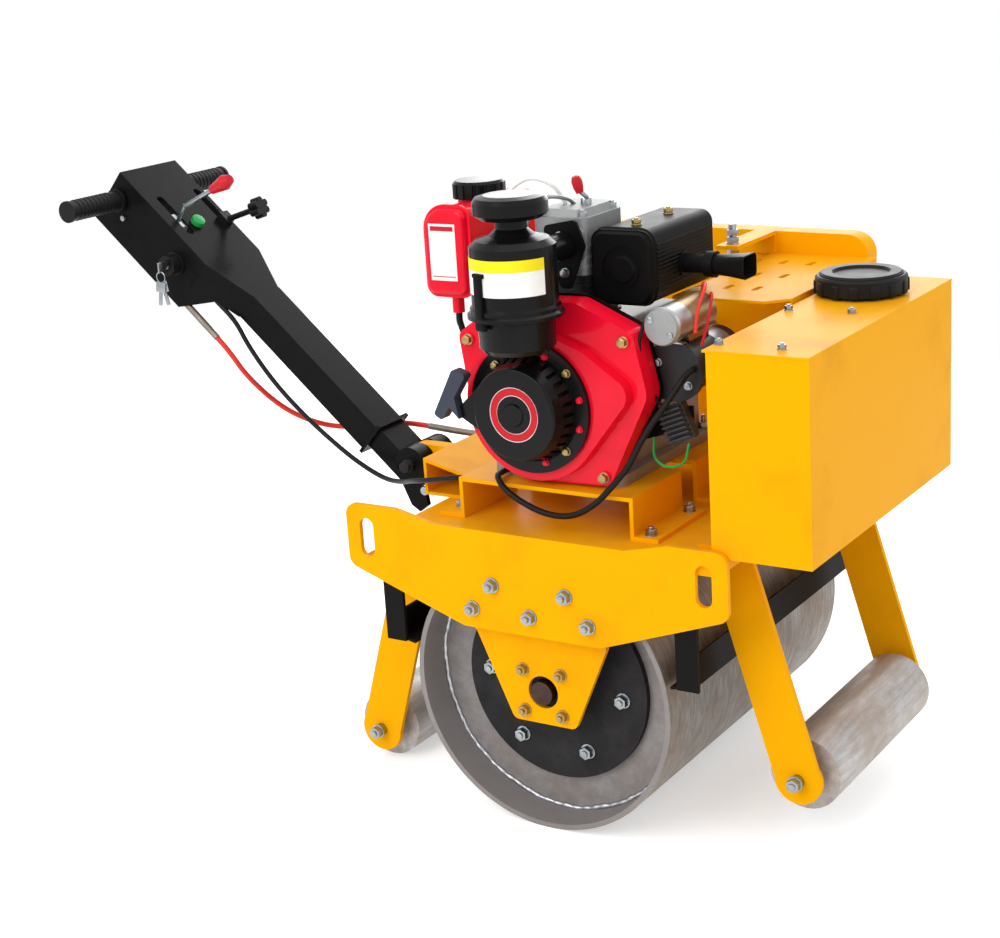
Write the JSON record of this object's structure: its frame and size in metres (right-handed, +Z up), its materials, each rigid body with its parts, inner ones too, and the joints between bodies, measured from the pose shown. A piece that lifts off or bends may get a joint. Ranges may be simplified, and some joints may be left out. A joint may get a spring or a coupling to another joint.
{
  "type": "walk-behind road roller",
  "caption": "Walk-behind vibratory road roller: bare steel drum in a yellow frame, water tank, red diesel engine, guide roller front and rear, folding black steering handle.",
  "frame": {"origin": "on the floor, below the middle of the whole machine's length and width", "axes": "+X forward, away from the handle; +Y to the machine's left; +Z up"},
  "size_m": [1.4196, 0.73, 0.945],
  "materials": {
    "yellow_paint": "glossy industrial yellow paint on steel plate",
    "black_paint": "satin black paint on steel",
    "red_paint": "glossy red paint on the engine's fan housing and fuel tank",
    "bare_steel": "bare rolled steel with light rust and scale",
    "zinc_steel": "zinc-plated steel",
    "cast_aluminium": "as-cast aluminium, matt",
    "cast_iron_black": "dark cast iron with paint wash",
    "black_plastic": "moulded black plastic",
    "black_rubber": "matt black rubber",
    "red_plastic": "glossy red plastic sheath"
  },
  "bodies": {
    "frame": {"air_cleaner": "black_plastic", "belt_guard": "yellow_paint", "black_cable": "black_rubber", "blower_housing": "red_paint", "conduit_front": "zinc_steel", "cylinder_head": "cast_aluminium", "deck_plate": "yellow_paint", "drum_bearings": "cast_iron_black", "engine_block": "cast_aluminium", "engine_brackets": "black_paint", "engine_cable": "black_rubber", "engine_cylinder": "cast_iron_black", "engine_mounts": "yellow_paint", "exhaust_outlet": "black_paint", "fan_shroud": "black_paint", "front_legs": "yellow_paint", "front_scraper": "black_paint", "fuel_cap": "black_plastic", "fuel_tank": "red_paint", "guard_spacers": "yellow_paint", "handle_crossmember": "yellow_paint", "handle_lug": "yellow_paint", "handle_pins": "zinc_steel", "hanger_far": "yellow_paint", "hanger_near": "yellow_paint", "intake_elbow": "black_plastic", "muffler": "black_paint", "precleaner": "black_plastic", "rear_legs": "yellow_paint", "rear_scraper": "black_paint", "recoil_starter": "black_plastic", "roller_axles": "zinc_steel", "side_plate_far": "yellow_paint", "side_plate_near": "yellow_paint", "slotted_cover": "yellow_paint", "starter_grip": "black_plastic", "starter_motor": "cast_aluminium", "tank_brackets": "yellow_paint", "tank_cap": "black_plastic", "tank_lid": "yellow_paint", "throttle_cable": "red_plastic", "voltage_regulator": "cast_aluminium", "water_tank": "yellow_paint"},
    "drum": {"drum_shell": "bare_steel", "drum_end_plates": "bare_steel", "drum_hubs": "cast_iron_black", "drum_axle": "bare_steel"},
    "front_roller": {"front_roller": "bare_steel"},
    "rear_roller": {"rear_roller": "bare_steel"},
    "handle": {"handle_arm": "black_paint", "handle_knuckles": "black_paint", "console": "black_paint", "handlebar": "black_paint", "grips": "black_rubber", "throttle_lever": "zinc_steel", "lever_grip": "red_plastic", "star_knob": "black_plastic", "key_switch": "black_plastic", "conduit_rear": "zinc_steel"}
  },
  "joints": [
    {"name": "drum_spin", "type": "hinge", "parent": "frame", "child": "drum", "pos_m": [0.27677, 0, 0.2125], "axis": [0, 1, 0], "continuous": true},
    {"name": "front_roller_spin", "type": "hinge", "parent": "frame", "child": "front_roller", "pos_m": [0.63977, 0, 0.1086], "axis": [0, 1, 0], "continuous": true},
    {"name": "rear_roller_spin", "type": "hinge", "parent": "frame", "child": "rear_roller", "pos_m": [-0.08623, 0, 0.05375], "axis": [0, 1, 0], "continuous": true},
    {"name": "handle_fold", "type": "hinge", "parent": "frame", "child": "handle", "pos_m": [-0.10323, 0, 0.452], "axis": [0, 1, 0], "range_deg": [0, 48], "deforming": ["black_cable", "throttle_cable"]}
  ]
}
